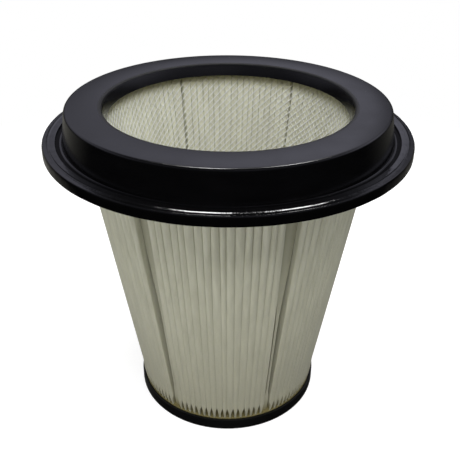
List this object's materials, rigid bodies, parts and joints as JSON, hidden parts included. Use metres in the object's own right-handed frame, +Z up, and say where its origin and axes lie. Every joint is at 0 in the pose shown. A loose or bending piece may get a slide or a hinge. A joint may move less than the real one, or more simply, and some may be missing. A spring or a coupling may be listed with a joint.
{
  "type": "conical pre-filter",
  "caption": "Conical pleated pre-filter for a construction vacuum: black flanged top cap with a rubber seal, pale cloth pleats on a net liner, and a closed bottom cap.",
  "frame": {"origin": "centre of the bottom cap's underside", "axes": "+Z up along the filter's axis, from the bottom cap to the mouth"},
  "size_m": [0.3899, 0.39, 0.3642],
  "materials": {
    "black_plastic": "satin",
    "black_rubber": "satin",
    "filter_cloth": "matte",
    "white_net": "satin",
    "amber_adhesive": "satin"
  },
  "bodies": {
    "root": {"top_cap": "black_plastic", "bottom_cap": "black_plastic", "rim_seal": "black_rubber", "media_panel_1": "filter_cloth", "media_panel_2": "filter_cloth", "media_panel_3": "filter_cloth", "media_panel_4": "filter_cloth", "media_panel_5": "filter_cloth", "media_panel_6": "filter_cloth", "inner_liner": "white_net", "top_potting": "amber_adhesive", "bottom_potting": "amber_adhesive"}
  },
  "joints": []
}
